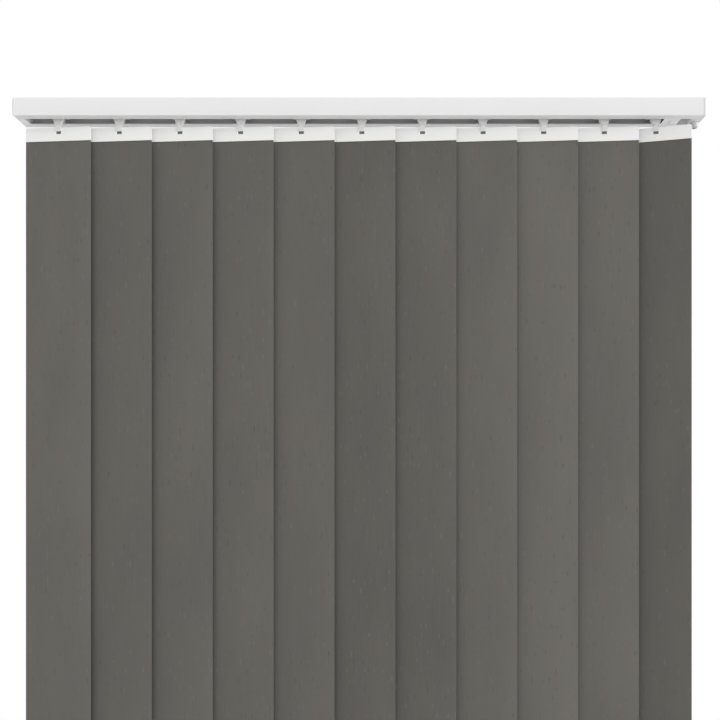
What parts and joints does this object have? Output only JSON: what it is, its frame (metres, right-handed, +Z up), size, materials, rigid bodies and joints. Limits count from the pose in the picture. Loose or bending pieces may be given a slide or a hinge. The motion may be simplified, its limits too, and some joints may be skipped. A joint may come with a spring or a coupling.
{
  "type": "vertical blind",
  "caption": "Vertical window blind: fabric slats hang from carriers in a white slotted headrail, draw to the control end and tilt together by a rod inside the rail.",
  "frame": {"origin": "in the ceiling plane, midway between the two bracket screws", "axes": "+X along the headrail towards the control end, +Y from the room towards the window, +Z up"},
  "size_m": [0.9, 0.043, 1.37],
  "materials": {
    "rail_paint": "white satin powder coat on extruded aluminium",
    "cap_plastic": "white moulded plastic, fine satin grain",
    "carrier_plastic": "off-white moulded plastic",
    "stem_plastic": "translucent pale grey moulded plastic",
    "hanger_plastic": "white extruded plastic, slightly warm",
    "slat_fabric": "stiffened warm grey woven fabric with a fine upright grain",
    "weight_steel": "zinc-plated steel plate",
    "rod_aluminium": "bare extruded aluminium",
    "bracket_steel": "zinc-plated spring steel"
  },
  "bodies": {
    "headrail": {"headrail": "rail_paint", "return_end_cap": "cap_plastic", "control_end": "cap_plastic", "mounting_brackets": "bracket_steel", "carrier_11": "carrier_plastic"},
    "tilt_rod": {"tilt_rod": "rod_aluminium"},
    "carrier_01": {"carrier_01": "carrier_plastic"},
    "carrier_02": {"carrier_02": "carrier_plastic"},
    "carrier_03": {"carrier_03": "carrier_plastic"},
    "carrier_04": {"carrier_04": "carrier_plastic"},
    "carrier_05": {"carrier_05": "carrier_plastic"},
    "carrier_06": {"carrier_06": "carrier_plastic"},
    "carrier_07": {"carrier_07": "carrier_plastic"},
    "carrier_08": {"carrier_08": "carrier_plastic"},
    "carrier_09": {"carrier_09": "carrier_plastic"},
    "carrier_10": {"carrier_10": "carrier_plastic"},
    "vane_01": {"stem_01": "stem_plastic", "hanger_01": "hanger_plastic", "slat_01": "slat_fabric", "slat_weight_01": "weight_steel"},
    "vane_02": {"stem_02": "stem_plastic", "hanger_02": "hanger_plastic", "slat_02": "slat_fabric", "slat_weight_02": "weight_steel"},
    "vane_03": {"stem_03": "stem_plastic", "hanger_03": "hanger_plastic", "slat_03": "slat_fabric", "slat_weight_03": "weight_steel"},
    "vane_04": {"stem_04": "stem_plastic", "hanger_04": "hanger_plastic", "slat_04": "slat_fabric", "slat_weight_04": "weight_steel"},
    "vane_05": {"stem_05": "stem_plastic", "hanger_05": "hanger_plastic", "slat_05": "slat_fabric", "slat_weight_05": "weight_steel"},
    "vane_06": {"stem_06": "stem_plastic", "hanger_06": "hanger_plastic", "slat_06": "slat_fabric", "slat_weight_06": "weight_steel"},
    "vane_07": {"stem_07": "stem_plastic", "hanger_07": "hanger_plastic", "slat_07": "slat_fabric", "slat_weight_07": "weight_steel"},
    "vane_08": {"stem_08": "stem_plastic", "hanger_08": "hanger_plastic", "slat_08": "slat_fabric", "slat_weight_08": "weight_steel"},
    "vane_09": {"stem_09": "stem_plastic", "hanger_09": "hanger_plastic", "slat_09": "slat_fabric", "slat_weight_09": "weight_steel"},
    "vane_10": {"stem_10": "stem_plastic", "hanger_10": "hanger_plastic", "slat_10": "slat_fabric", "slat_weight_10": "weight_steel"},
    "vane_11": {"stem_11": "stem_plastic", "hanger_11": "hanger_plastic", "slat_11": "slat_fabric", "slat_weight_11": "weight_steel"}
  },
  "joints": [
    {"name": "traverse", "type": "slide", "parent": "headrail", "child": "carrier_01", "axis": [1, 0, 0], "range_m": [0, 0.476]},
    {"name": "traverse_02", "type": "slide", "parent": "headrail", "child": "carrier_02", "axis": [1, 0, 0], "range_m": [0, 0.426]},
    {"name": "traverse_03", "type": "slide", "parent": "headrail", "child": "carrier_03", "axis": [1, 0, 0], "range_m": [0, 0.376]},
    {"name": "traverse_04", "type": "slide", "parent": "headrail", "child": "carrier_04", "axis": [1, 0, 0], "range_m": [0, 0.326]},
    {"name": "traverse_05", "type": "slide", "parent": "headrail", "child": "carrier_05", "axis": [1, 0, 0], "range_m": [0, 0.276]},
    {"name": "traverse_06", "type": "slide", "parent": "headrail", "child": "carrier_06", "axis": [1, 0, 0], "range_m": [0, 0.226]},
    {"name": "traverse_07", "type": "slide", "parent": "headrail", "child": "carrier_07", "axis": [1, 0, 0], "range_m": [0, 0.176]},
    {"name": "traverse_08", "type": "slide", "parent": "headrail", "child": "carrier_08", "axis": [1, 0, 0], "range_m": [0, 0.126]},
    {"name": "traverse_09", "type": "slide", "parent": "headrail", "child": "carrier_09", "axis": [1, 0, 0], "range_m": [0, 0.076]},
    {"name": "traverse_10", "type": "slide", "parent": "headrail", "child": "carrier_10", "axis": [1, 0, 0], "range_m": [0, 0.026]},
    {"name": "tilt", "type": "hinge", "parent": "carrier_01", "child": "vane_01", "pos_m": [-0.398, 0, -0.014], "axis": [0, 0, -1], "range_deg": [0, 156]},
    {"name": "tilt_02", "type": "hinge", "parent": "carrier_02", "child": "vane_02", "pos_m": [-0.318, 0, -0.014], "axis": [0, 0, -1], "range_deg": [0, 156]},
    {"name": "tilt_03", "type": "hinge", "parent": "carrier_03", "child": "vane_03", "pos_m": [-0.238, 0, -0.014], "axis": [0, 0, -1], "range_deg": [0, 156]},
    {"name": "tilt_04", "type": "hinge", "parent": "carrier_04", "child": "vane_04", "pos_m": [-0.158, 0, -0.014], "axis": [0, 0, -1], "range_deg": [0, 156]},
    {"name": "tilt_05", "type": "hinge", "parent": "carrier_05", "child": "vane_05", "pos_m": [-0.078, 0, -0.014], "axis": [0, 0, -1], "range_deg": [0, 156]},
    {"name": "tilt_06", "type": "hinge", "parent": "carrier_06", "child": "vane_06", "pos_m": [0.002, 0, -0.014], "axis": [0, 0, -1], "range_deg": [0, 156]},
    {"name": "tilt_07", "type": "hinge", "parent": "carrier_07", "child": "vane_07", "pos_m": [0.082, 0, -0.014], "axis": [0, 0, -1], "range_deg": [0, 156]},
    {"name": "tilt_08", "type": "hinge", "parent": "carrier_08", "child": "vane_08", "pos_m": [0.162, 0, -0.014], "axis": [0, 0, -1], "range_deg": [0, 156]},
    {"name": "tilt_09", "type": "hinge", "parent": "carrier_09", "child": "vane_09", "pos_m": [0.242, 0, -0.014], "axis": [0, 0, -1], "range_deg": [0, 156]},
    {"name": "tilt_10", "type": "hinge", "parent": "carrier_10", "child": "vane_10", "pos_m": [0.322, 0, -0.014], "axis": [0, 0, -1], "range_deg": [0, 156]},
    {"name": "tilt_11", "type": "hinge", "parent": "headrail", "child": "vane_11", "pos_m": [0.39, 0, -0.014], "axis": [0, 0, -1], "range_deg": [0, 156]},
    {"name": "rod_turn", "type": "hinge", "parent": "headrail", "child": "tilt_rod", "pos_m": [0, 0.007, -0.014], "axis": [1, 0, 0], "range_deg": [0, 936]}
  ],
  "couplings": [
    {"joint": "traverse_02", "follows": "traverse", "ratio": 0.89496},
    {"joint": "traverse_03", "follows": "traverse", "ratio": 0.78992},
    {"joint": "traverse_04", "follows": "traverse", "ratio": 0.68487},
    {"joint": "traverse_05", "follows": "traverse", "ratio": 0.57983},
    {"joint": "traverse_06", "follows": "traverse", "ratio": 0.47479},
    {"joint": "traverse_07", "follows": "traverse", "ratio": 0.36975},
    {"joint": "traverse_08", "follows": "traverse", "ratio": 0.26471},
    {"joint": "traverse_09", "follows": "traverse", "ratio": 0.15966},
    {"joint": "traverse_10", "follows": "traverse", "ratio": 0.054621},
    {"joint": "tilt_02", "follows": "tilt", "ratio": 1},
    {"joint": "tilt_03", "follows": "tilt", "ratio": 1},
    {"joint": "tilt_04", "follows": "tilt", "ratio": 1},
    {"joint": "tilt_05", "follows": "tilt", "ratio": 1},
    {"joint": "tilt_06", "follows": "tilt", "ratio": 1},
    {"joint": "tilt_07", "follows": "tilt", "ratio": 1},
    {"joint": "tilt_08", "follows": "tilt", "ratio": 1},
    {"joint": "tilt_09", "follows": "tilt", "ratio": 1},
    {"joint": "tilt_10", "follows": "tilt", "ratio": 1},
    {"joint": "tilt_11", "follows": "tilt", "ratio": 1},
    {"joint": "rod_turn", "follows": "tilt", "ratio": 6}
  ]
}
